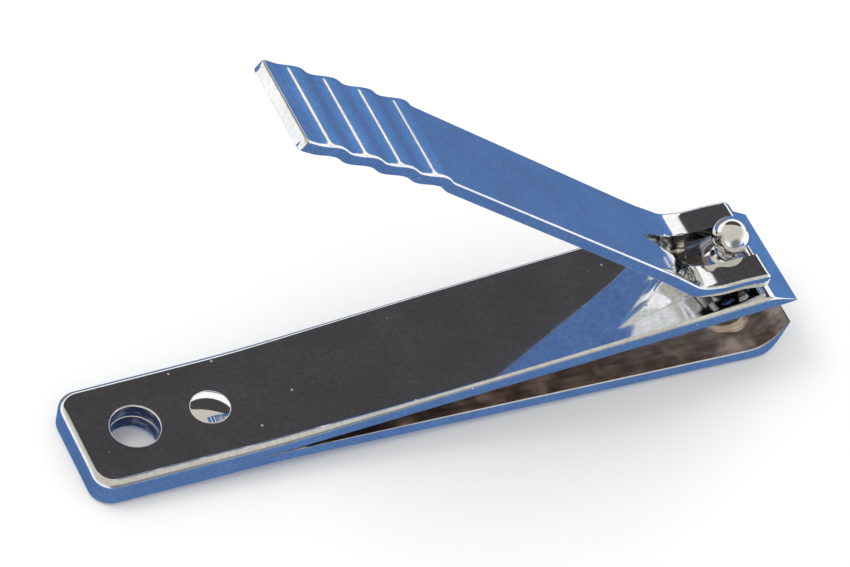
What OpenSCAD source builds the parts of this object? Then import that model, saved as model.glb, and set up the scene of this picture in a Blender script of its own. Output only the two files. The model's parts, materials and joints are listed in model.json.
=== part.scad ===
// Large straight-edge nail clipper: two spring-steel blades riveted at the
// tail, a pivot post with a ball head, and a press lever hooked on a crossbar.
// Millimetres, +Z up, +X toward the jaws, +Y across the blades.
// The clipper stands on its lower blade: tail edge and jaw underside on Z = 0.

/* [Blades] */
// Length from tail to cutting edge
blade_length = 80; // [60:0.5:100]
// Width of the blades at the tail
tail_width = 13.05; // [9:0.05:16]
// Width of the blades at the jaws
front_width = 13.5; // [9:0.05:17]
// Width of the cutting edge
edge_width = 12.4; // [8:0.1:16]
// Sheet thickness of each blade
sheet = 1.65; // [1:0.05:2.5]
// Corner radius at the tail
tail_corner = 2.4; // [1:0.1:4]
// Rounding of the long outer edges
edge_round = 0.7; // [0.2:0.1:1.2]
// Distance from the tail to where the blades part
split_x = 20.2; // [18:0.1:30]
// Rise of the upper blade at rest, degrees
upper_rise = 3.37; // [2:0.01:5]
// Drop of the lower blade, degrees
lower_drop = 3.42; // [2:0.01:5]

/* [Keyring hole and rivet] */
// Keyring hole diameter through both blades
keyring_d = 5.2; // [3:0.1:7]
// Keyring hole distance from the tail
keyring_x = 6.6; // [5:0.1:9]
// Rivet head diameter
rivet_head_d = 4.3; // [3:0.1:6]
// Rivet shank diameter
rivet_shank_d = 3; // [2:0.1:4]
// Rivet distance from the tail
rivet_x = 14.9; // [11:0.1:18]

/* [Pivot post] */
// Post position along the upper blade, from the split
post_x = 54; // [45:0.1:56]
// Shank diameter
post_d = 3.6; // [2.5:0.1:4.5]
// Ball head diameter
ball_d = 4.16; // [3:0.02:6]
// Ball centre above the underside of the upper blade
ball_z = 5.235; // [4.5:0.005:7]
// Diameter of the round foot
foot_d = 5.3; // [4:0.1:7]
// Hole for the post in the upper blade
upper_hole_d = 4.9; // [4:0.1:6]

/* [Lever] */
// Sheet thickness of the lever
lever_sheet = 1.4; // [1:0.1:2]
// Length of the handle's straight part, from the bend to the grip
handle_length = 45.7; // [35:0.1:55]
// Length of the ridged grip
grip_length = 19.5; // [17:0.1:22]
// Width of the handle at its tail
handle_width = 11.3; // [8:0.1:14]
// Width of the handle at its neck
neck_width = 10.3; // [8:0.1:14]
// Width of the head with its two wings
head_width = 11; // [8:0.1:14]
// Handle angle above the upper blade at rest
handle_angle = 42.95; // [35:0.01:50]
// Grip angle above the upper blade at rest
grip_angle = 37.35; // [30:0.01:45]
// Crossbar diameter
bar_d = 1.24; // [1:0.02:1.6]
// Number of grip ridges
ridges = 4; // [0:1:6]
// Distance between grip ridges
ridge_pitch = 5.05; // [4.5:0.05:5.5]

/* [Hidden] */
$fn = 64;
eps = 0.01;
steel = [0.80, 0.82, 0.85];
bright = [0.90, 0.91, 0.93];
rest_tilt = 2.5286;     // stands the clipper level on its lower blade
centre_x = 39.94;      // middle of its length
lift_z = 1.6484;       // tail edge down onto Z = 0
bar_x = post_x + 1.7;  // crossbar axis, in the upper blade's frame
bar_z = ball_z - 2.135;
bend_x = 48.3;         // top of the lever's bend, in the same frame
bend_z = 4.93;
win_r = 4.98;          // window of the lever, round the crossbar axis
win_w = 4.7;
rivet_rim = 0.06;      // straight rim of a rivet head
rivet_cap = 0.3;       // dome above it
ridge_first = 4.9;     // tail to the crest of the first grip ridge
ridge_rise = 0.45;     // height of a ridge above the flat
ridge_r = 5;           // radius of its crest
jaw_in = (front_width - edge_width) / 2;

// Blade plane to standing position
module stand() {
  translate([-centre_x, 0, lift_z]) rotate([0, -rest_tilt, 0]) children();
}
// Upper blade's own frame: underside on Z = 0, X from the split
module on_upper() {
  stand() translate([split_x, 0, sheet]) rotate([0, -upper_rise, 0])
    translate([0, 0, -sheet]) children();
}
// Lower blade's own frame: top side on Z = 0, X from the split
module on_lower() {
  stand() translate([split_x, 0, 0]) rotate([0, lower_drop, 0]) children();
}
// Side profile drawn in XZ, extruded across the width
module side(w) {
  translate([0, w / 2, 0]) rotate([90, 0, 0]) linear_extrude(w) children();
}
// Tail plan with rounded corners
module tail_plan(x1) {
  r = tail_corner;
  w0 = tail_width / 2;
  w1 = w0 + (front_width - tail_width) / 2 * x1 / 76;
  for (s = [-1, 1]) translate([r, s * (w0 - r)]) circle(r);
  polygon([[0, -w0 + r], [r, -w0], [x1, -w1], [x1, w1], [r, w0], [0, w0 - r]]);
}
// Front plan of a blade, measured from the split
module front_plan(x0, crest, tip) {
  w0 = tail_width / 2 + (front_width - tail_width) / 2 * (split_x + x0) / 76;
  w1 = front_width / 2;
  w2 = edge_width / 2;
  polygon([[x0, -w0], [crest, -w1], [tip + 1, -w2 + 0.05], [tip + 1, w2 - 0.05],
           [crest, w1], [x0, w0]]);
}
// Cross section with rounded corners on one side, extruded along the blade
module rounded_bar(x0, x1, z0, z1, up, r) {
  w = front_width / 2;
  zr = up ? z1 - r : z0 + r;
  translate([x0, 0, 0]) rotate([90, 0, 90]) linear_extrude(x1 - x0) union() {
    for (s = [-1, 1]) translate([s * (w - r), zr]) circle(r);
    translate([-w + r, z0]) square([2 * (w - r), z1 - z0]);
    translate([-w, up ? z0 : zr]) square([2 * w, up ? zr - z0 : z1 - zr]);
  }
}

module lower_blade() {
  color(steel) difference() {
    union() {
      // tail, flat against the upper blade
      stand() intersection() {
        translate([0, 0, -sheet]) linear_extrude(sheet) tail_plan(split_x);
        rounded_bar(-1, split_x + 1, -sheet, 0, false, 0.5);
      }
      // arm and upturned jaw
      on_lower() intersection() {
        side(front_width) polygon([[-0.05, 0], [-0.05, -sheet], [57.2, -sheet], [57.75, -1.45],
          [58.25, -0.95], [58.6, -0.3], [59.0, 0.7], [59.4, 1.8], [59.74, 2.85],
          [59.62, 2.85], [58.9, 1.75], [58.1, 0.95], [57.2, 0.42], [56.2, 0.12], [55.2, 0]]);
        translate([0, 0, -sheet - 1]) linear_extrude(6) front_plan(-0.05, 56.2, 59.2);
        union() {
          rounded_bar(-1, 57, -sheet, 0.5, false, 0.5);
          translate([56.9, -front_width, -sheet]) cube([4, 2 * front_width, 6]);
        }
      }
      // boss pressed up round the post hole
      on_upper() translate([post_x, 0, -7.3]) cylinder(h = 1.55, r1 = 4.1, r2 = 2.75);
    }
    stand() translate([keyring_x, 0, -sheet - 1]) cylinder(h = sheet + 2, d = keyring_d);
    stand() translate([rivet_x, 0, -sheet - 1]) cylinder(h = sheet + 2, d = rivet_shank_d);
    on_upper() translate([post_x, 0, -10]) {
      cylinder(h = 6, d = post_d + 0.1);
      cylinder(h = 3.1, d = foot_d + 0.1);
    }
  }
}

module upper_blade_tang() {
  color(steel) stand() difference() {
    intersection() {
      linear_extrude(sheet) tail_plan(split_x - 0.03);
      rounded_bar(-1, split_x + 1, 0, sheet, true, edge_round);
      side(front_width + 1) union() {
        translate([edge_round, sheet - edge_round]) circle(edge_round);
        translate([edge_round, 0]) square([split_x, sheet]);
        square([split_x, sheet - edge_round]);
      }
    }
    translate([keyring_x, 0, -1]) cylinder(h = sheet + 2, d = keyring_d);
    translate([rivet_x, 0, -1]) cylinder(h = sheet + 2, d = rivet_shank_d);
  }
}

module upper_blade_arm() {
  color(steel) on_upper() difference() {
    intersection() {
      side(front_width) polygon([[0.03, 0], [55.2, 0], [57.2, -0.1], [59.77, -0.637],
        [59.77, -0.5], [56.5, 1.52], [56.1, sheet], [0.03, sheet]]);
      translate([0, 0, -2]) linear_extrude(6) front_plan(0.03, 56.2, 58.8);
      union() {
        rounded_bar(0, 56, -1, sheet, true, edge_round);
        // jaw, ground flat down to the edge
        translate([55.9, -front_width, -1]) cube([5, 2 * front_width, 4]);
      }
    }
    translate([post_x, 0, -1]) cylinder(h = sheet + 2, d = upper_hole_d);
  }
}

module tail_rivet() {
  cap_r = (pow(rivet_head_d / 2, 2) + pow(rivet_cap, 2)) / (2 * rivet_cap);
  color(bright) stand() translate([rivet_x, 0, 0]) {
    translate([0, 0, -sheet]) cylinder(h = 2 * sheet, d = rivet_shank_d);
    for (m = [0, 1]) mirror([0, 0, m]) translate([0, 0, sheet]) {
      cylinder(h = rivet_rim, d = rivet_head_d);
      intersection() {
        translate([0, 0, rivet_rim + rivet_cap - cap_r]) sphere(r = cap_r);
        cylinder(h = 1, d = rivet_head_d);
      }
    }
  }
}

module pivot_post() {
  color(bright) on_upper() translate([post_x, 0, 0]) difference() {
    union() {
      translate([0, 0, ball_z]) sphere(d = ball_d);
      translate([0, 0, -7]) cylinder(h = ball_z + 7, d = post_d);
      // foot, sunk in the lower blade
      translate([0, 0, -7.73]) cylinder(h = 0.8, d = foot_d);
    }
    // notch that the crossbar hooks into
    difference() {
      translate([0.85, -3, 2.1]) cube([3, 6, 2]);
      translate([0, 0, ball_z]) sphere(d = ball_d);
    }
    // waist under the ball
    translate([0, 0, 2.1]) difference() {
      cylinder(h = 1.7, r = 3);
      translate([0, 0, -1]) cylinder(h = 4, r = 1.35);
    }
  }
}

module lever_crossbar() {
  color(bright) on_upper() translate([bar_x, 0, bar_z]) rotate([90, 0, 0])
    cylinder(h = win_w + 3.2, d = bar_d, center = true);
}

// Handle plan, running back from the bend
module handle_plan() {
  tail = -handle_length - grip_length;
  bend_w = head_width / 2 - 0.03;
  polygon([[2, -bend_w], [-1, -bend_w], [-6, -neck_width / 2],
    [tail + 0.5, -handle_width / 2], [tail, -handle_width / 2 + 0.5],
    [tail, handle_width / 2 - 0.5], [tail + 0.5, handle_width / 2],
    [-6, neck_width / 2], [-1, bend_w], [2, bend_w]]);
}

// Frame of the grip: its own plane, X from where it meets the straight part
module on_grip() {
  translate([-handle_length, 0, 0]) rotate([0, grip_angle - handle_angle, 0]) children();
}

// Cylinders across the grip, one under each ridge
module ridge_cylinders(r) {
  for (i = [0 : ridges - 1])
    translate([-grip_length + ridge_first + i * ridge_pitch, head_width, ridge_rise - ridge_r])
      rotate([90, 0, 0]) cylinder(h = 2 * head_width, r = r);
}

module lever() {
  w = head_width;
  color(bright) on_upper() difference() {
    union() {
      // handle: straight part and grip
      translate([bend_x, 0, bend_z]) rotate([0, handle_angle, 0]) intersection() {
        translate([0, 0, -4]) linear_extrude(8) handle_plan();
        difference() {
          union() {
            translate([-handle_length, -w, -lever_sheet]) cube([handle_length, 2 * w, lever_sheet]);
            on_grip() {
              translate([-grip_length, -w, -lever_sheet]) cube([grip_length + 0.4, 2 * w, lever_sheet]);
              intersection() {
                translate([-grip_length, -w, -lever_sheet]) cube([grip_length + 4, 2 * w, 4]);
                ridge_cylinders(ridge_r);
              }
            }
          }
          // underside of the ridges
          on_grip() ridge_cylinders(ridge_r - lever_sheet);
        }
      }
      // head with its two wings and rolled front
      intersection() {
        side(w) union() {
          polygon([[bend_x, bend_z], [bar_x, bar_z + 0.97], [bar_x, bar_z - 0.8], [bar_x - 1.3, bar_z - 0.5],
                   [bend_x + 0.2, bend_z - lever_sheet], [bend_x - 0.4, bend_z - 1.37],
                   [bend_x - 0.8, bend_z - 1.22], [bend_x - 1, bend_z - 1.06], [bend_x - 1, bend_z + 0.22]]);
          translate([bar_x, bar_z]) circle(1.0);
        }
        translate([0, 0, -1]) linear_extrude(10) polygon([[40, -w / 2], [55.4, -w / 2], [57, -w / 2 + 1.1],
          [57, w / 2 - 1.1], [55.4, w / 2], [40, w / 2]]);
      }
      // fulcrum pressed down under the bend
      intersection() {
        union() {
          translate([48.9, 0, 4.01]) sphere(r = 2.3);
          translate([48.9, 0, 4.01]) rotate([0, -48.5, 0]) cylinder(h = 7.6, r1 = 2.2, r2 = 0.3);
        }
        side(6) polygon([[52, 0], [52, 4.2], [bend_x - 0.165, bend_z - 0.19], [bend_x - 6.2, bend_z + 5.43],
                         [40, 6], [44, 0]]);
      }
    }
    // hollow of the pressed fulcrum
    translate([49.1, 0, 4.9]) sphere(r = 1.75);
    translate([49.1, 0, 4.9]) rotate([0, -49, 0]) cylinder(h = 7.1, r1 = 1.62, r2 = 0.15);
    // window that lets the ball through
    translate([bar_x, 0, bar_z]) rotate([90, 0, 0]) cylinder(h = win_w, r = win_r, center = true);
    // seats of the crossbar
    translate([bar_x, 0, bar_z]) rotate([90, 0, 0])
      cylinder(h = win_w + 3.3, d = bar_d + 0.06, center = true);
  }
}

lower_blade();
upper_blade_tang();
upper_blade_arm();
tail_rivet();
pivot_post();
lever_crossbar();
lever();
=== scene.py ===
"""Nail clipper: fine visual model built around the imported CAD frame.

Shapes are drawn in mm, in local frames that sit on the keyring hole and on the joints."""
import json
import math
import bpy
import bmesh
from mathutils import Matrix, Vector


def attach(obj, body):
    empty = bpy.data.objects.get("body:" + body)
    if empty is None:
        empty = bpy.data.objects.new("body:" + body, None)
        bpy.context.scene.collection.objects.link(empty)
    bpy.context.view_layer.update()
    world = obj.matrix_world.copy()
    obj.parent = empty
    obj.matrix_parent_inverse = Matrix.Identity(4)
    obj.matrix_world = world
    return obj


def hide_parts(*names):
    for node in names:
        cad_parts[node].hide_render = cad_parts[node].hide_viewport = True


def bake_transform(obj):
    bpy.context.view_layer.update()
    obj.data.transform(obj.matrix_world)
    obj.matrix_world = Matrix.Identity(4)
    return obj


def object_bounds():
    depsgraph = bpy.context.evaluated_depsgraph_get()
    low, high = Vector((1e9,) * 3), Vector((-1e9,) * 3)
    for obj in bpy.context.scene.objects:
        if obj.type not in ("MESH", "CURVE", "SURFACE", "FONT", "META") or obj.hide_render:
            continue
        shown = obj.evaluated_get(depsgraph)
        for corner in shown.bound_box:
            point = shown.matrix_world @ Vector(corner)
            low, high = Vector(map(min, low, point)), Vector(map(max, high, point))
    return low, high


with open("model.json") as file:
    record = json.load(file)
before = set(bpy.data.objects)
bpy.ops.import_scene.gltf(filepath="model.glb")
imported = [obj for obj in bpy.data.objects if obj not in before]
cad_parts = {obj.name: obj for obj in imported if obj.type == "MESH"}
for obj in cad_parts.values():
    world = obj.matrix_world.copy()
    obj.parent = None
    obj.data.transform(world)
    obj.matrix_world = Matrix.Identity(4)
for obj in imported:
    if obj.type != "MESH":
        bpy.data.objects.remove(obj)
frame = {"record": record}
cad_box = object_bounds()
record = frame["record"]
joints = {j["name"]: j for j in record["behaviour"]["joints"]}
mount = record["mounts"][0]
MM = 0.001

# ---------------------------------------------------------------- dimensions, mm
T = 1.65                                  # sheet of a blade
TAIL_W = 13.05                            # width at the tail
FRONT_W = 13.5                            # width at the jaws
EDGE_W = 12.4                             # width of the cutting edge
CORNER = 2.4                              # corner radius of the tail
KEY_X, KEY_R = 6.6, 2.6                   # keyring hole: from the tail end, radius
RIVET_X, RIVET_R = 14.9, 2.15             # tail rivet: from the tail end, radius of its heads
SPLIT = 20.2                              # the blades part here, from the tail end
RISE = math.radians(3.37)                 # slope of the upper blade
DROP = math.radians(3.42)                 # slope of the lower blade
BEND_L = 9.0                              # length over which a blade bends away
JAW = 55.2                                # the jaws start here, from the split
UP_END = 59.77                            # upper cutting edge, from the split
UP_CREST = 76.3                           # the upper jaw gets narrower from here, from the tail end
GRIND, GRIND_X = 0.62, 56.25              # slope of the upper jaw's ground face, its start from the split
HOOK = 0.637                              # the upper edge reaches this far below the sheet
EDGE_T = 0.13                             # thickness of the upper cutting edge
LOW_JAW = 5.6                             # length of the lower jaw along the strip
LOW_CREST = 56.2                          # the lower jaw gets narrower from here, from the split
HOLE_R = 2.45                             # hole of the post in the upper blade
POST_R, NECK_R = 1.8, 1.35                # post, and its waist under the ball
BALL_R, BALL_Z = 2.08, 5.235              # ball, and its centre above the upper blade's underside
FOOT_R, FOOT_TOP, FOOT_END = 2.63, -6.95, -7.73   # foot of the post
BAR_R, BAR_HALF = 0.62, 3.9               # crossbar: radius, half length
UP_TIP = SPLIT + UP_END
LOW_TIP = SPLIT + JAW + LOW_JAW


# ---------------------------------------------------------------- frames
def frame_at(pos, z_axis):
    """Row-frame matrix, in mm units, with its origin at pos, Z along z_axis and Y kept."""
    z = Vector(z_axis).normalized()
    y = Vector((0, 1, 0))
    x = y.cross(z).normalized()
    m = Matrix((x, y, z)).transposed().to_4x4()
    m.translation = Vector(pos)
    return m @ Matrix.Scale(MM, 4)


UP_AXIS = joints["post_spin"]["axis"]
TAIL = frame_at(mount["pos_m"], mount["axis"])              # between the blades, at the keyring hole
RIVET = TAIL @ Matrix.Translation((RIVET_X - KEY_X, 0, 0))
POST = frame_at(joints["post_spin"]["pos_m"], UP_AXIS)      # underside of the upper blade, at the post
BAR = frame_at(joints["lever_press"]["pos_m"], UP_AXIS)     # crossbar axis
BAR_AXIS = BAR @ Matrix.Rotation(math.pi / 2, 4, "X")       # the same, with Z along the crossbar


# ---------------------------------------------------------------- curves
def lerp(a, b, t):
    """From a at t = 0 to b at t = 1."""
    return a + (b - a) * t


def smooth(t):
    """0 below t = 0, 1 above t = 1 and an S curve between."""
    t = min(1.0, max(0.0, t))
    return t * t * (3 - 2 * t)


def spread(a, b, n):
    """n + 1 even steps from a to b."""
    return [lerp(a, b, i / n) for i in range(n + 1)]


def softmin(a, b, k):
    """The smaller of a and b, rounded where they cross."""
    h = max(0.0, k - abs(a - b)) / k
    return min(a, b) - h * h * k * 0.25


def arc(cx, cz, r, a0, a1, n):
    """Points of an arc from a0 to a1 degrees."""
    angles = [math.radians(a) for a in spread(a0, a1, n)]
    return [(cx + r * math.cos(a), cz + r * math.sin(a)) for a in angles]


def fillet(r, depth):
    """Rise of a rounded edge of radius r, at the given depth from its end."""
    return r - math.sqrt(max(0.0, r * r - (r - depth) ** 2))


# ---------------------------------------------------------------- meshes
def new_object(name, bm, mats, angle=32):
    """A smooth-shaded object from bm, with edges sharper than angle kept sharp."""
    bmesh.ops.remove_doubles(bm, verts=bm.verts, dist=1e-7)
    bmesh.ops.dissolve_degenerate(bm, edges=bm.edges, dist=1e-8)
    bmesh.ops.recalc_face_normals(bm, faces=bm.faces)
    me = bpy.data.meshes.new(name)
    bm.to_mesh(me)
    bm.free()
    for m in mats:
        me.materials.append(m)
    me.shade_smooth()
    me.set_sharp_from_angle(angle=math.radians(angle))
    ob = bpy.data.objects.new(name, me)
    bpy.context.scene.collection.objects.link(ob)
    return ob


def weighted(ob):
    """Keeps flat faces flat next to their rounded edges."""
    m = ob.modifiers.new("normals", "WEIGHTED_NORMAL")
    m.keep_sharp = True
    m.weight = 100


def lathe(profile, place, n=96, mat=0):
    """Revolves (radius, height) points round the Z of place; zero radius closes the end."""
    bm = bmesh.new()
    rings = []
    for r, z in profile:
        turns = [2 * math.pi * i / n for i in range(n)] if r > 1e-6 else [0.0]
        rings.append([bm.verts.new(place @ Vector((r * math.cos(a), r * math.sin(a), z))) for a in turns])
    for a, b in zip(rings, rings[1:]):
        for i in range(n):
            j = (i + 1) % n
            if len(a) == 1:
                f = bm.faces.new((a[0], b[j], b[i]))
            elif len(b) == 1:
                f = bm.faces.new((a[i], a[j], b[0]))
            else:
                f = bm.faces.new((a[i], a[j], b[j], b[i]))
            f.material_index = mat
    return bm


def cutter(place, r, z0, z1, lip=0.22, wall=0):
    """A round tool with flared lips, which leaves a hole with soft edges; wall: material of its wall."""
    quarter = spread(0, math.pi / 2, 5)
    prof = [(0, z0 - 1), (r + lip, z0 - 1)]
    prof += [(r + lip - lip * math.sin(a), z0 + lip - lip * math.cos(a)) for a in quarter]
    prof += [(r + lip - lip * math.cos(a), z1 - lip + lip * math.sin(a)) for a in quarter]
    prof += [(r + lip, z1 + 1), (0, z1 + 1)]
    bm = lathe(prof, place)
    back_to_tool = place.inverted()
    for f in bm.faces:
        radii = [(back_to_tool @ v.co).xy.length for v in f.verts]
        if max(radii) < r + 0.01 and min(radii) > r - 0.01:
            f.material_index = wall
    return new_object("cutter", bm, [])


def cut(ob, tools, angle=32, operation="DIFFERENCE"):
    """Cuts the tools out of ob, or joins them to it; their faces keep a tool's material number."""
    for t in tools:
        m = ob.modifiers.new("cut", "BOOLEAN")
        m.operation = operation
        m.solver = "EXACT"
        m.object = t
    me = bpy.data.meshes.new_from_object(ob.evaluated_get(bpy.context.evaluated_depsgraph_get()))
    ob.modifiers.clear()
    ob.data = me
    for t in tools:
        bpy.data.objects.remove(t)
    bm = bmesh.new()
    bm.from_mesh(me)
    bmesh.ops.remove_doubles(bm, verts=bm.verts, dist=1e-6)
    bm.to_mesh(me)
    bm.free()
    me.shade_smooth()
    me.set_sharp_from_angle(angle=math.radians(angle))


def strip_outline(stations, half):
    """(s, y, inward s, inward y) along the near side, round the tail and back along the far side."""
    near = [(s, -half(s), 0.0, 1.0) for s in reversed(stations) if s > CORNER + 1e-6]
    side = half(0) - CORNER
    for a in spread(0, math.pi / 2, 10):
        near.append((CORNER - CORNER * math.sin(a), -side - CORNER * math.cos(a), math.sin(a), math.cos(a)))
    tail = [(0.0, x * side, 1.0, 0.0) for x in spread(-6 / 7, 6 / 7, 4)]
    return near + tail + [(s, -y, ns, -ny) for s, y, ns, ny in reversed(near)]


def strip(stations, half, r_top, r_bot, place, mats, seam=0.0):
    """A strip of sheet with a rounded tail and rounded long edges.
    stations: distances along it; half(s): half width; place(s, y, h): h from 0 (bottom) to 1 (top).
    r_top(s), r_bot(s): edge radius; mats: side, top cap, bottom cap.
    The top edge takes the top cap's material up to the distance seam."""
    outline = strip_outline(stations, half)
    n = len(outline)
    k = 6                                 # steps round each long edge
    quarter = spread(0, math.pi / 2, k)
    rings = [(r_bot, 1 - math.sin(a), 1 - math.cos(a), False) for a in quarter]
    rings += [(r_top, 1 - math.cos(a), 1 - math.sin(a), True) for a in quarter]
    bm = bmesh.new()
    loops = []
    for radius, inset, drop, top in rings:
        loop = []
        for s, y, ns, ny in outline:
            r = radius(s)
            h = 1 - drop * r / T if top else drop * r / T
            loop.append(bm.verts.new(place(s + ns * inset * r, y + ny * inset * r, h)))
        loops.append(loop)

    def face(verts, mat):
        bm.faces.new(verts).material_index = mat

    for row, (a, b) in enumerate(zip(loops, loops[1:])):
        for i in range(n - 1):
            mat = mats[1] if row > k and outline[i][0] < seam else mats[0]
            face((a[i], a[i + 1], b[i + 1], b[i]), mat)
    tail_i = (n - 5) // 2 - 2             # the last pair of points before the straight tail
    for loop, mat in ((loops[-1], mats[1]), (loops[0], mats[2])):
        for i in range(tail_i):
            j = n - 1 - i
            face((loop[i], loop[i + 1], loop[j - 1], loop[j]), mat)
        face(loop[tail_i:n - tail_i], mat)
    face([lp[0] for lp in loops] + [lp[-1] for lp in reversed(loops)], mats[0])
    return bm


# ---------------------------------------------------------------- materials
class Shader:
    """Adds nodes to a node tree. An input is a value, set on its socket, or another node's output."""

    def __init__(self, tree):
        self.nodes = tree.nodes
        self.links = tree.links

    def put(self, socket, value):
        if isinstance(value, bpy.types.NodeSocket):
            self.links.new(value, socket)
        else:
            socket.default_value = value

    def add(self, kind, inputs, out=0, **settings):
        node = self.nodes.new("ShaderNode" + kind)
        for name, value in settings.items():
            setattr(node, name, value)
        for key, value in inputs.items():
            self.put(node.inputs[key], value)
        return node.outputs[out] if node.outputs else node

    def noise(self, vector, scale, detail, **more):
        return self.add("TexNoise", {"Vector": vector, "Scale": scale, "Detail": detail, **more})

    def math(self, operation, *values):
        return self.add("Math", dict(enumerate(values)), operation=operation)

    def dot(self, vector, axis):
        return self.add("VectorMath", {0: vector, 1: axis}, "Value", operation="DOT_PRODUCT")

    def remap(self, value, from_range, to_range=(0.0, 1.0), **settings):
        ends = {"From Min": from_range[0], "From Max": from_range[1],
                "To Min": to_range[0], "To Max": to_range[1]}
        return self.add("MapRange", {"Value": value, **ends}, **settings)

    def blend(self, factor, a, b):
        return self.add("Mix", {"Factor": factor, 6: a, 7: b}, 2, data_type="RGBA")

    def ramp(self, value, stops):
        node = self.nodes.new("ShaderNodeValToRGB")
        self.put(node.inputs["Fac"], value)
        elements = node.color_ramp.elements
        first, *middle, last = stops
        for element, (position, colour) in zip(elements, (first, last)):
            element.position = position
            element.color = (*colour, 1)
        for position, colour in middle:
            elements.new(position).color = (*colour, 1)
        return node.outputs["Color"]

    def bump(self, height, strength, distance):
        return self.add("Bump", {"Height": height, "Strength": strength, "Distance": distance}, "Normal")


def new_material(name):
    """A material, its node adder and a put for its surface."""
    m = bpy.data.materials.new(name)
    m.use_nodes = True
    sh = Shader(m.node_tree)
    surface = m.node_tree.nodes["Principled BSDF"].inputs

    def put(socket, value):
        sh.put(surface[socket], value)

    return m, sh, put


def chrome(name, seed, dust, tint=(0.86, 0.87, 0.89), rough=(0.035, 0.10), patchy=0.13):
    """Polished plating: patchy colour, faint brushed scratches, a film of wear and a few dust specks."""
    m, sh, put = new_material(name)
    here = sh.add("TexCoord", {}, "Object")
    here = sh.add("Mapping", {"Vector": here, "Location": (seed, seed * 2, seed * 3)})
    cloud = sh.noise(here, 160, 6, Roughness=0.65)
    grain = sh.noise(here, 2200, 2)
    dark = [c * (1 - patchy) for c in tint]
    bright = [min(1.0, c * (1 + patchy * 0.7)) for c in tint]
    put("Base Color", sh.ramp(sh.math("MULTIPLY", cloud, grain), [(0.14, dark), (0.38, bright)]))
    # long hair scratches
    drawn = sh.add("Mapping", {"Vector": here, "Scale": (60, 2600, 2600), "Rotation": (0, 0, 0.32)})
    hair = sh.noise(drawn, 1.0, 3)
    scratch = sh.remap(hair, (0.62, 0.80))
    wear = sh.remap(cloud, (0.35, 0.75), rough)
    put("Roughness", sh.math("MULTIPLY_ADD", scratch, 0.10, wear))
    put("Normal", sh.bump(hair, 0.02, 0.00002))
    # dust and polishing specks: dull dots in one cell out of ten
    if dust:
        cells = sh.add("TexVoronoi", {"Vector": here, "Scale": 620}, "Distance")
        red = sh.add("SeparateColor", {"Color": cells.node.outputs["Color"]}, "Red")
        chosen = sh.math("GREATER_THAN", red, 0.90)
        spot = sh.math("MULTIPLY", chosen, sh.remap(cells, (0.11, 0.04)))
        put("Metallic", sh.math("SUBTRACT", 1.0, sh.math("MULTIPLY", spot, dust)))
    else:
        put("Metallic", 1.0)
    return m


def raw_steel_with_painted_highlights(name):
    """The unpolished inner sides: thin plating over ground steel, warmer and duller, with painted
    highlights in bright peach blotches.
    """
    m, sh, put = new_material(name)
    here = sh.add("TexCoord", {}, "Object")
    grain = sh.noise(sh.add("Mapping", {"Vector": here, "Scale": (250, 1800, 1800)}), 1.0, 5)
    blot = sh.noise(here, 420, 6)
    dark, bright = (0.34, 0.26, 0.21), (0.86, 0.75, 0.66)
    steel = sh.ramp(sh.math("MULTIPLY", grain, blot), [(0.15, dark), (0.42, bright)])
    # painted highlights: bright peach blotches at random places, with less metal in them
    painted_highlight = sh.remap(sh.noise(here, 260, 2), (0.56, 0.72))
    put("Base Color", sh.blend(painted_highlight, steel, (1.0, 0.80, 0.66, 1)))
    put("Metallic", sh.remap(painted_highlight, (0, 1), (1.0, 0.72)))
    put("Roughness", sh.remap(blot, (0, 1), (0.22, 0.42)))
    put("Normal", sh.bump(grain, 0.25, 0.00003))
    return m


def streaked(name, dark, bright, scale, metal=1.0):
    """Drawn or punched metal in a hollow, with the hollow's shade painted in as dark streaks, and bright
    streaks between, along the scale's small direction.
    """
    m, sh, put = new_material(name)
    here = sh.add("Mapping", {"Vector": sh.add("TexCoord", {}, "Object"), "Scale": scale})
    streak = sh.noise(here, 1.0, 4, Distortion=0.6)
    put("Base Color", sh.ramp(streak, [(0.48, dark), (0.66, bright)]))
    put("Metallic", metal)
    put("Roughness", sh.remap(streak, (0, 1), (0.08, 0.30)))
    return m


BLADE = chrome("blade_chrome", seed=0.1, dust=0.5)
LEVER = chrome("lever_chrome", seed=0.7, dust=0.15)
SMALL = chrome("post_chrome", seed=1.3, dust=0, tint=(0.9, 0.9, 0.91), rough=(0.03, 0.08), patchy=0.06)
INNER = raw_steel_with_painted_highlights("inner_steel_painted_highlights")
# painted shade: the hollow of the pressed V and the window's walls drawn near-black, with bright streaks
DENT_SHADE = streaked("dent_painted_shade", (0.05, 0.043, 0.04), (0.92, 0.86, 0.80), (260, 1500, 800))
# painted shade: the keyring hole's wall drawn dark navy to brown, over duller punched metal
BORE_SHADE = streaked("bore_wall_painted_shade", (0.10, 0.09, 0.12), (0.55, 0.42, 0.34), (700, 700, 1500), 0.8)
OUTSIDE, INSIDE, WALL = 0, 1, 2           # material numbers of a blade
BLADE_MATS = [BLADE, INNER, BORE_SHADE]


# ---------------------------------------------------------------- blades
def bend_angle(s, slope):
    """Slope at distance s of a blade that bends away by slope at the split."""
    return slope * smooth((s - (SPLIT - BEND_L / 2)) / BEND_L)


def bent_line(slope):
    """A line from the tail end that bends by slope at the split, as a function of the distance."""
    step = 0.05
    line = [(0.0, 0.0)]
    while len(line) * step < 82:
        a = bend_angle((len(line) - 0.5) * step, slope)
        x, z = line[-1]
        line.append((x + step * math.cos(a), z + step * math.sin(a)))

    def at(s):
        s = max(0.0, s)
        i = min(len(line) - 2, int(s / step))
        f = s / step - i
        (x0, z0), (x1, z1) = line[i], line[i + 1]
        return lerp(x0, x1, f), lerp(z0, z1, f), bend_angle(s, slope)

    return at


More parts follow.
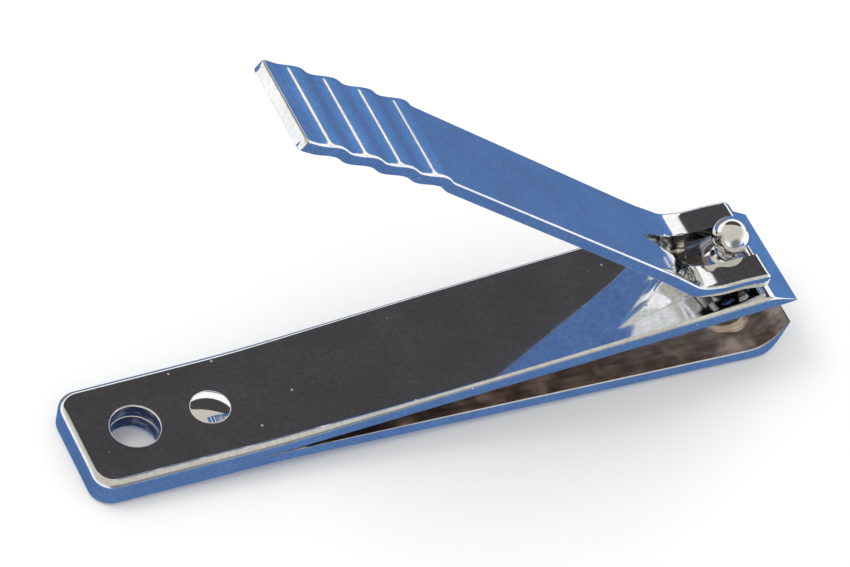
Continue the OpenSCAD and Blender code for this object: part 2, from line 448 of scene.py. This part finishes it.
def half_width(tip, crest):
    """Half width along a blade, narrower from the crest to the tip."""
    def half(s):
        if s > crest:
            return lerp(FRONT_W / 2, EDGE_W / 2, min(1.0, (s - crest) / (tip - crest)))
        return TAIL_W / 2 + (FRONT_W - TAIL_W) / 2 * min(1, s / 76)
    return half


def blade_stations(jaw):
    """Distances along a blade: close together at the bend, and then those of its jaw."""
    ds = [0, CORNER] + spread(3, 16, 4) + spread(16.6, 24, 18) + spread(26, 70, 6) + jaw
    return sorted(set(round(v, 4) for v in ds))


def tail_holes(z0, z1):
    """Tools for the keyring hole and the rivet's hole, through a sheet from z0 to z1."""
    return [cutter(TAIL, KEY_R, z0, z1, 0.16, wall=WALL), cutter(RIVET, RIVET_R - 0.35, z0, z1, 0.1)]


upper_line = bent_line(RISE)
lower_line = bent_line(-DROP)


def place_upper(s, y, h):
    """A point of the upper blade: its top is ground down to the edge, and its underside hooks down."""
    s = min(s, UP_TIP)
    along = s - SPLIT
    top = softmin(0.0, -GRIND * (along - GRIND_X), 0.45)
    bottom = -T - HOOK * smooth((along - JAW) / (UP_END - JAW)) ** 1.3
    top = max(top, bottom + EDGE_T)
    d = lerp(bottom, top, h)
    x, z, a = upper_line(s)
    return TAIL @ Vector((x - d * math.sin(a) - KEY_X, y, T + z + d * math.cos(a)))


def upper_edge(s):
    """Radius of the upper blade's top edges: worn at the tail, finer at the jaw."""
    return lerp(0.85, 0.42, smooth((s - 12) / 34)) * (1 - 0.65 * smooth((s - UP_CREST + 1) / 3.0))


def upper_low_edge(s):
    """Radius of its bottom edges: nearly none where it lies on the other blade."""
    return 0.004 + 0.036 * smooth((s - 20) / 8)


def make_upper():
    stations = blade_stations(spread(71, 75.4, 6) + spread(75.6, UP_TIP, 34))
    bm = strip(stations, half_width(UP_TIP, UP_CREST), upper_edge, upper_low_edge, place_upper,
               (OUTSIDE, OUTSIDE, INSIDE))
    ob = new_object("upper_blade", bm, BLADE_MATS)
    cut(ob, tail_holes(0.02, T - 0.02) + [cutter(POST, HOLE_R, 0.02, T - 0.02, 0.2)])
    weighted(ob)
    return ob


# the lower jaw's inner and outer side, from the split along the drooping sheet
LOW_IN = [(JAW, 0), (56.2, 0.12), (57.2, 0.42), (58.1, 0.95), (58.9, 1.75), (59.62, 2.82)]
LOW_OUT = [(JAW, -T), (57.1, -1.63), (57.72, -1.42), (58.25, -0.93), (58.62, -0.28), (59.0, 0.7),
           (59.4, 1.8), (59.74, 2.84)]


def curve_at(pts, t):
    """Smooth curve through the points, by length, t from 0 to 1."""
    seg = [0.0]
    for p, q in zip(pts, pts[1:]):
        seg.append(seg[-1] + math.dist(p, q))
    d = t * seg[-1]
    i = max(j for j in range(len(pts) - 1) if seg[j] <= d + 1e-9)
    u = (d - seg[i]) / (seg[i + 1] - seg[i])
    four = pts[max(0, i - 1)], pts[i], pts[i + 1], pts[min(len(pts) - 1, i + 2)]
    return tuple(0.5 * (2 * b + (c - a) * u + (2 * a - 5 * b + 4 * c - e) * u * u
                        + (3 * b - a - 3 * c + e) * u ** 3) for a, b, c, e in zip(*four))


def place_lower(s, y, h):
    """A point of the lower blade, whose jaw turns up to the edge."""
    s = min(s, LOW_TIP)
    if s > SPLIT + JAW:
        t = (s - SPLIT - JAW) / LOW_JAW
        (xi, zi), (xo, zo) = curve_at(LOW_IN, t), curve_at(LOW_OUT, t)
        px, pz = lerp(xo, xi, h), lerp(zo, zi, h)
        x = SPLIT + px * math.cos(DROP) + pz * math.sin(DROP)
        z = -px * math.sin(DROP) + pz * math.cos(DROP)
        return TAIL @ Vector((x - KEY_X, y, z))
    d = (h - 1) * T
    x, z, a = lower_line(s)
    return TAIL @ Vector((x - d * math.sin(a) - KEY_X, y, z + d * math.cos(a)))


def lower_edge(s):
    """Radius of the lower blade's top edges: nearly none where the upper blade lies on it."""
    wide = 0.11 * smooth((s - 26) / 20) * (1 - 0.7 * smooth((s - 76) / 4.0))
    return 0.004 + 0.05 * smooth((s - 13) / 6) + wide


def lower_low_edge(s):
    """Radius of its bottom edges, finer at the jaw."""
    return 0.45 * (1 - 0.8 * smooth((s - 76) / 4.0))


def make_lower():
    stations = blade_stations(spread(71, 75.2, 4) + spread(75.4, LOW_TIP, 34))
    bm = strip(stations, half_width(LOW_TIP, SPLIT + LOW_CREST), lower_edge, lower_low_edge, place_lower,
               (OUTSIDE, INSIDE, OUTSIDE), seam=31.0)
    ob = new_object("lower_blade_body", bm, BLADE_MATS)
    seat_r = FOOT_R + 0.07
    cut(ob, tail_holes(-T + 0.02, -0.02) + [cutter(POST, seat_r, -10, -5, 0.05)])
    # boss pressed up round the post, in the wider hole that takes the post's foot
    bore, under = POST_R + 0.06, FOOT_TOP + 0.05
    prof = [(3.6, -7.0), (4.22, -6.66)] + arc(4.35, -6.1, 0.55, 255, 195, 5)
    prof += arc(3.0, -6.25, 0.5, 40, 90, 5) + [(2.3, -5.76)] + arc(bore + 0.2, -5.96, 0.2, 90, 180, 4)
    prof += [(bore, under), (2.85, under), (3.6, -7.0)]
    boss = new_object("boss", lathe(prof, POST, mat=INSIDE), [BLADE, INNER])
    cut(ob, [boss], operation="UNION")
    weighted(ob)
    return ob


# ---------------------------------------------------------------- rivet, post and crossbar
def make_rivet():
    """Two low domes on thin rims, joined by the shank."""
    dome_r, dome_h, rim_h, rim_r = 6.25, 0.38, 0.04, 0.085
    flat_r = RIVET_R - 0.09
    prof = [(0, rim_h + dome_h)]
    prof += [(r, rim_h + dome_h - dome_r + math.sqrt(dome_r ** 2 - r * r)) for r in spread(0.1, flat_r, 30)]
    prof += arc(flat_r, rim_h - 0.02, rim_r, 70, 0, 5) + [(flat_r + rim_r, 0.0), (1.76, -0.02)]
    both = [(r, T + z) for r, z in prof] + [(r, -T - z) for r, z in reversed(prof)]
    return new_object("tail_rivet_heads", lathe(both, RIVET, 144), [SMALL], 40)


def make_post():
    """Foot, shaft, waist and ball, with a notch for the crossbar that leaves the ball whole."""
    ball_end = math.pi - math.asin(NECK_R / BALL_R)
    turn = spread(0, ball_end, 40)
    prof = [(0, BALL_Z + BALL_R)]
    prof += [(BALL_R * math.sin(a), BALL_Z + BALL_R * math.cos(a)) for a in turn[1:]]
    prof += [(NECK_R, 3.3), (NECK_R, 2.3)] + arc(POST_R - 0.15, 2.0, 0.15, 90, 0, 4)
    prof += [(POST_R, -6.8), (POST_R, -6.93)] + arc(FOOT_R - 0.13, FOOT_TOP - 0.13, 0.13, 90, 0, 3)
    prof += arc(FOOT_R - 0.13, FOOT_END + 0.13, 0.13, 0, -90, 3) + [(0, FOOT_END)]
    ob = new_object("pivot_post_body", lathe(prof, POST), [SMALL], 40)
    bm = bmesh.new()
    box = Matrix.Translation((2.85, 0, 3.0)) @ Matrix.Diagonal((4, 6, 2.2, 1))
    bmesh.ops.create_cube(bm, size=1, matrix=POST @ box)
    notch = new_object("notch", bm, [SMALL])
    spared_r = BALL_R + 0.01
    turn = spread(0, math.pi, 40)[1:-1]
    spared = [(spared_r * math.sin(a), BALL_Z + spared_r * math.cos(a)) for a in turn]
    spared = [(0, BALL_Z + spared_r)] + spared + [(0, BALL_Z - spared_r)]
    cut(notch, [new_object("spared_ball", lathe(spared, POST, 90), [SMALL])])
    cut(ob, [notch], 40)
    return ob


def make_bar():
    """Round pin with bevelled ends."""
    face_r = 0.5
    prof = [(0, -BAR_HALF), (face_r, -BAR_HALF), (BAR_R, 0.12 - BAR_HALF)]
    prof += [(r, -z) for r, z in reversed(prof)]
    return new_object("crossbar_pin", lathe(prof, BAR_AXIS, 48), [SMALL], 40)


# ---------------------------------------------------------------- lever
# its path runs in the plane of the BAR frame, x forward and z up
SHEET, HEAD_SHEET = 1.4, 1.62             # thickness, and at the front of the head
STEEP = math.radians(42.95)               # slope of the straight part
GRIP = math.radians(37.35)                # slope of the grip
WING = math.atan2(0.86, 7.4)              # the wings slope down to the front
STRAIGHT, GRIP_L = 45.7, 19.5             # lengths from the bend
HANDLE = STRAIGHT + GRIP_L
BEND = (-7.4, 1.83)                       # top of the bend
BEND_R = 3.5                              # inner radius of the bend
BACK = BEND_R * math.tan((STEEP - WING) / 2)    # the bend starts this far up the handle
FLARE, FLARE_L = math.radians(9), 3.4     # extra slope of the wings next to the bend, and its length
WING_END, NOSE_R = 7.36, 0.985            # end of the wings past the bend, and the round nose there
NOSE_L = 1.5                              # length the nose adds
RIDGES, PITCH, FIRST = 4, 5.05, 4.9       # grip ridges: count, spacing, tail to first crest
RIDGE_H, RIDGE_UP, RIDGE_DOWN = 0.345, 3.3, 1.75
WIN, WIN_D = 2.35, 1.7                    # window: half width, and its start past the bend
TIP_D = -7.2                              # tip of the pressed V, up the handle
TIP_HALF = 0.10                           # half width of that tip


def ridge(tail):
    """Height of the grip waves: a slow rise from the tail side, then a quick fall."""
    for i in range(RIDGES):
        q = tail - FIRST - i * PITCH
        if -RIDGE_UP < q < RIDGE_DOWN:
            run = RIDGE_UP if q < 0 else RIDGE_DOWN
            crease = 0.010 * (math.tanh((q + RIDGE_UP / 2) / 0.12) if q < 0 else 1 - q / RIDGE_DOWN)
            return RIDGE_H * (0.5 + 0.5 * math.cos(math.pi * q / run)) + crease
    return 0.0


def handle_point(d):
    """Top point and slope of the handle at distance d from the bend, softened where the grip starts."""
    x, z = BEND
    steps = 200
    for i in range(steps):
        a = lerp(STEEP, GRIP, smooth((d * (i + 0.5) / steps - STRAIGHT + 2.2) / 2.2))
        x -= d / steps * math.cos(a)
        z += d / steps * math.sin(a)
    return x, z, a


def handle_rows():
    """The handle from its tail to the bend, with a rounded tail end."""
    tails = [0, 0.05, 0.12, 0.22, 0.35] + spread(0.6, 23.4, 137)
    ds = [HANDLE - t for t in tails] + spread(HANDLE - 24.5, 12, 10) + spread(11, BACK + 0.02, 46)
    rows = []
    for d in ds:
        tail = HANDLE - d
        top = ridge(tail)
        bottom = top - SHEET + max(0.0, 0.05 - tail)
        if tail < 0.22:
            top -= fillet(0.22, tail)
        x, z, a = handle_point(d)
        nx, nz = math.sin(a), math.cos(a)
        rows.append(((x + nx * top, z + nz * top), (x + nx * bottom, z + nz * bottom), -d))
    return rows


# the bend's centre lies above the top side
BEND_C = (BEND[0] - BACK * math.cos(STEEP) + BEND_R * math.sin(STEEP),
          BEND[1] + BACK * math.sin(STEEP) + BEND_R * math.cos(STEEP))


def bend_rows():
    """An arc up to the slope where the wings start to flare."""
    rows = []
    for t in spread(0, 1, 20)[1:-1]:
        a = lerp(STEEP, WING + FLARE, t)
        top, bottom = ((BEND_C[0] - r * math.sin(a), BEND_C[1] - r * math.cos(a))
                       for r in (BEND_R, BEND_R + SHEET))
        rows.append((top, bottom, lerp(-BACK, BACK, t)))
    return rows


def wing_rows():
    """The wings, which flatten slowly towards the front."""
    d0 = BACK * 0.8
    steps = 34
    step = (WING_END - 0.35 - d0) / steps
    x = BEND_C[0] - BEND_R * math.sin(WING + FLARE)
    z = BEND_C[1] - BEND_R * math.cos(WING + FLARE)
    d = d0
    rows = []
    for i in range(steps + 1):
        a = WING + FLARE * (1 - smooth((d - d0) / FLARE_L))
        thick = lerp(SHEET, HEAD_SHEET, smooth((d - 5.2) / 2.0))
        straight = BEND[1] - (x - BEND[0]) * math.tan(WING)
        top = lerp(z, straight, smooth((d - d0 - 1.5) / 4.0))
        rows.append(((x, top), (x - math.sin(a) * thick, top - math.cos(a) * thick), d))
        x += step * math.cos(a)
        z -= step * math.sin(a)
        d += step
    return rows


def nose_rows():
    """The rounded nose round the crossbar."""
    start = 94
    rows = []
    for a in spread(start, 0, 16):
        t = math.radians(a)
        rows.append(((NOSE_R * math.cos(t), NOSE_R * math.sin(t)),
                     (NOSE_R * 0.98 * math.cos(t), -NOSE_R * 0.80 * math.sin(t)),
                     WING_END + (start - a) / start * NOSE_L))
    return rows


def lever_half(d):
    """Half width: wide grip, narrow neck, wider head, rounded corners."""
    w = lerp(5.15, 5.63, (-6 - d) / (HANDLE - 6)) if d < -6 else lerp(5.15, 5.48, smooth((d + 6) / 5.5))
    tail = HANDLE + d
    if tail < 0.5:
        w -= fillet(0.5, tail)
    front = WING_END + NOSE_L - d
    if front < 1.5:
        w -= 1.1 * (1 - math.sqrt(max(0.0, 1 - ((1.5 - front) / 1.5) ** 2)))
    return w


def dent(d, e):
    """Depth of the pressed fulcrum at distance d, at e from -1 to 1 across it."""
    if d < TIP_D:
        return 0.0
    depth = 1.95 * min(1.0, (d - TIP_D) / (1.1 - TIP_D)) ** 1.1
    a = math.sqrt(e * e + 0.06) - 0.245                # rounded bottom
    u = max(0.0, 1 - a / 0.785)
    lip = 0.16                                         # rounded rim
    v = u * u / (2 * lip) if u < lip else u - lip / 2
    return depth * v / (1 - lip / 2)


def dent_half(d):
    """Half width of the pressed V and of the window that follows it."""
    if d < TIP_D:
        return lerp(TIP_HALF, WIN, min(1.0, (TIP_D - d) / 3))
    return lerp(TIP_HALF, WIN, min(1.0, (d - TIP_D) / (0.4 - TIP_D)) ** 0.9)


ACROSS = [math.copysign(1 - (1 - abs(t)) ** 1.35, t) for t in spread(-1, 1, 32)]


def columns(d):
    """(y, inset, across) from near to far; across is in -1..1 inside the V, else None."""
    w, h = lever_half(d), dent_half(d)
    edge = lerp(0.27, 0.32, smooth((d + 1.0) / 3.0))
    quarter = spread(0, math.pi / 2, 7)
    side = [(-w + edge * (1 - math.cos(a)), edge * (1 - math.sin(a)), None) for a in quarter]
    side += [(lerp(-w + edge, -h, t), 0.0, None) for t in spread(0, 1, 7)[1:-1]]
    return side + [(e * h, 0.0, e) for e in ACROSS] + [(-y, i, e) for y, i, e in reversed(side)]


def lever_row(bm, top, bottom, d):
    """Vertices across the lever at distance d: those of the top side and those of the bottom side."""
    ln = math.dist(top, bottom)
    nx, nz = ((t - b) / max(1e-6, ln) for t, b in zip(top, bottom))
    window_edge = 0.24                    # radius of the soft edges along the window
    upper_row, lower_row = [], []
    for y, inset, e in columns(d):
        push = dent(d, e) if e is not None and d <= WIN_D else 0.0
        inset = min(inset, ln * 0.45)
        beside = abs(y) - WIN
        if e is None and d > WIN_D and beside < window_edge:
            inset = max(inset, min(ln * 0.45, fillet(window_edge, beside)))
        # the pressed part is shallower below, and more so on the near side of its tip
        at_tip = 0.72 if e is not None and e < 0 else 0.42
        rise = inset * 0.4 - push + push * lerp(at_tip, 0.18, smooth((d + 3.5) / 3.0))
        fall = inset + push
        upper_row.append(bm.verts.new(BAR @ Vector((top[0] - nx * fall, y, top[1] - nz * fall))))
        lower_row.append(bm.verts.new(BAR @ Vector((bottom[0] + nx * rise, y, bottom[1] + nz * rise))))
    return upper_row, lower_row


def make_lever():
    rows = handle_rows() + bend_rows() + wing_rows() + nose_rows()
    bm = bmesh.new()
    tops, bots = zip(*(lever_row(bm, *row) for row in rows))
    n = len(tops[0])
    first_in = (n - len(ACROSS)) // 2     # the V and the window lie between these two columns
    last_in = n - 1 - first_in
    # material 1 paints the shade of the pressed V's hollow and of the window's walls
    plated, painted_shade = 0, 1

    def wall(r, c, r2, c2, mat=plated):
        """A face between the top and the bottom side."""
        bm.faces.new((tops[r][c], tops[r2][c2], bots[r2][c2], bots[r][c])).material_index = mat

    window_row = next(r for r, row in enumerate(rows) if row[2] > WIN_D) - 1
    for r in range(len(rows) - 1):
        in_window = r >= window_row
        for c in range(n - 1):
            in_v = first_in <= c < last_in
            if in_window and in_v:
                continue
            f = bm.faces.new((tops[r][c], tops[r][c + 1], tops[r + 1][c + 1], tops[r + 1][c]))
            if in_v and abs(ACROSS[c - first_in]) < 0.9 and rows[r][2] > TIP_D:
                f.material_index = painted_shade
            bm.faces.new((bots[r][c], bots[r + 1][c], bots[r + 1][c + 1], bots[r][c + 1]))
        wall(r, 0, r + 1, 0)
        wall(r, n - 1, r + 1, n - 1)
        if in_window:
            wall(r, first_in, r + 1, first_in, painted_shade)
            wall(r, last_in, r + 1, last_in, painted_shade)
    front = len(rows) - 1
    for c in range(n - 1):
        wall(0, c, 0, c + 1)
        if first_in <= c < last_in:
            wall(window_row, c, window_row, c + 1, painted_shade)
        else:
            wall(front, c, front, c + 1)
    ob = new_object("press_lever", bm, [LEVER, DENT_SHADE], 38)
    seat_r, seat_half = BAR_R + 0.03, BAR_HALF + 0.05
    seat = lathe([(0, -seat_half), (seat_r, -seat_half), (seat_r, seat_half), (0, seat_half)], BAR_AXIS, 48)
    cut(ob, [new_object("crossbar_seat", seat, [LEVER, DENT_SHADE])], 38)
    weighted(ob)
    return ob


# ---------------------------------------------------------------- bodies
upper = make_upper()
lower = make_lower()
rivet = make_rivet()
post = make_post()
bar = make_bar()
lever = make_lever()
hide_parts("upper_blade_tang", "upper_blade_arm")
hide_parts("lower_blade")
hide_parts("tail_rivet")
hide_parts("pivot_post")
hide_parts("lever_crossbar")
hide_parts("lever")
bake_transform(upper)
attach(lower, "blades")
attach(rivet, "blades")
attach(post, "post")
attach(bar, "crossbar")
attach(lever, "lever")


# ---------------------------------------------------------------- stage
def make_floor():
    """Pale paper, just below the part."""
    bpy.ops.mesh.primitive_plane_add(size=4, location=(0, 0, cad_box[0][2] - 0.00002))
    ob = bpy.context.object
    ob.name = "floor"
    paper, sh, put = new_material("floor_paper")
    put("Base Color", (0.93, 0.93, 0.93, 1))
    put("Roughness", 0.9)
    ob.data.materials.append(paper)
    ob.visible_glossy = False
    return ob


floor = make_floor()


def ceiling_panel(sh, toward):
    """1 inside an ellipse overhead, seen in the direction toward, with a soft rim."""
    centre = Vector((0.296, 0.56, 0.774)).normalized()
    across = Vector((0.88, -0.47, 0)).normalized()
    across = (across - across.dot(centre) * centre).normalized()
    squares = []
    for axis, size in ((across, 0.60), (centre.cross(across), 0.25)):
        squares.append(sh.math("POWER", sh.math("ABSOLUTE", sh.dot(toward, axis / size)), 2))
    rim = sh.remap(sh.math("ADD", *squares), (1.12, 0.95), interpolation_type="SMOOTHSTEP")
    ahead = sh.math("GREATER_THAN", sh.dot(toward, centre), 0)
    return sh.math("MULTIPLY", rim, ahead)


def make_world():
    """Plain white light; the metal mirrors a studio with a blue backdrop, a panel and cards."""
    world = bpy.data.worlds.new("studio")
    bpy.context.scene.world = world
    world.use_nodes = True
    sh = Shader(world.node_tree)
    sh.nodes.clear()
    toward = sh.add("TexCoord", {}, "Generated")
    # height above a slightly tilted horizon: a blue backdrop below it, white sky above
    height = sh.dot(toward, Vector((-0.2, -0.3, 1)).normalized())
    studio = sh.ramp(sh.math("MULTIPLY_ADD", height, 0.5, 0.5), [
        (0.0, (0.085, 0.175, 0.38)), (0.30, (0.104, 0.20, 0.44)), (0.42, (0.104, 0.248, 0.56)),
        (0.466, (0.12, 0.28, 0.60)), (0.474, (0.50, 0.34, 0.20)), (0.484, (1.1, 1.1, 1.1)),
        (0.62, (1.1, 1.1, 1.08)), (0.76, (0.66, 0.64, 0.55)), (1.0, (0.62, 0.58, 0.50))])
    # dark ceiling panel, wide and low, mirrored by the flat tops
    studio = sh.blend(ceiling_panel(sh, toward), studio, (0.064, 0.061, 0.065, 1))
    # a white card low beside the front, mirrored by the lever's near edge, and a grey one at each side
    white, grey = (1.1, 1.1, 1.1, 1), (0.20, 0.215, 0.24, 1)
    for place, start, full, colour in (((0.93, -0.34, -0.15), 0.90, 0.94, white),
                                       ((0, -1, 0), 0.80, 0.97, grey), ((0, 1, 0), 0.88, 0.98, grey)):
        aim = sh.dot(toward, Vector(place).normalized())
        card = sh.remap(aim, (start, full), interpolation_type="SMOOTHSTEP")
        studio = sh.blend(card, studio, colour)
    mirrored = sh.add("Background", {"Color": studio})
    soft = sh.add("Background", {"Color": (1, 1, 1, 1), "Strength": 0.92})
    glossy = sh.add("LightPath", {}, "Is Glossy Ray")
    light = sh.add("MixShader", {"Fac": glossy, 1: soft, 2: mirrored})
    sh.add("OutputWorld", {"Surface": light})


def make_key_light():
    light = bpy.data.lights.new("key", "AREA")
    light.shape = "RECTANGLE"
    light.size = 0.5
    light.size_y = 0.4
    light.energy = 2.2
    ob = bpy.data.objects.new("key", light)
    bpy.context.scene.collection.objects.link(ob)
    ob.location = (-0.35, 0.25, 0.75)
    ob.rotation_euler = (-ob.location).to_track_quat("-Z", "Y").to_euler()
    ob.visible_glossy = False


def make_camera():
    """The photograph's view: direction, roll and distance are set in the tail frame, in mm."""
    elevation, azimuth, roll = (math.radians(v) for v in (48.4, -34.1, 12.85))
    distance, shift_right, shift_up = 543.5, -0.4387, 8.0308
    looked_at = Vector((40, 0, 0))        # from the tail end, along the blades
    data = bpy.data.cameras.new("camera")
    data.sensor_width = 36
    data.lens = 221.1247                  # far away with a long lens, as the photograph's flat perspective
    data.clip_end = 20
    cam = bpy.data.objects.new("camera", data)
    bpy.context.scene.collection.objects.link(cam)
    bpy.context.scene.camera = cam
    back = Vector((math.sin(azimuth) * math.cos(elevation), -math.cos(azimuth) * math.cos(elevation),
                   math.sin(elevation)))
    level = Vector((0, 0, 1)).cross(back).normalized()
    upright = back.cross(level)
    right = math.cos(roll) * level + math.sin(roll) * upright
    up = math.cos(roll) * upright - math.sin(roll) * level
    eye = looked_at + shift_right * right + shift_up * up + distance * back
    axes = Matrix((right, up, back)).transposed().to_4x4()
    turn = TAIL.to_quaternion().to_matrix().to_4x4()
    cam.matrix_world = Matrix.Translation(TAIL @ (eye - Vector((KEY_X, 0, 0)))) @ turn @ axes


make_world()
make_key_light()
make_camera()
bpy.context.scene.view_settings.view_transform = "Standard"
bpy.context.scene.view_settings.look = "None"
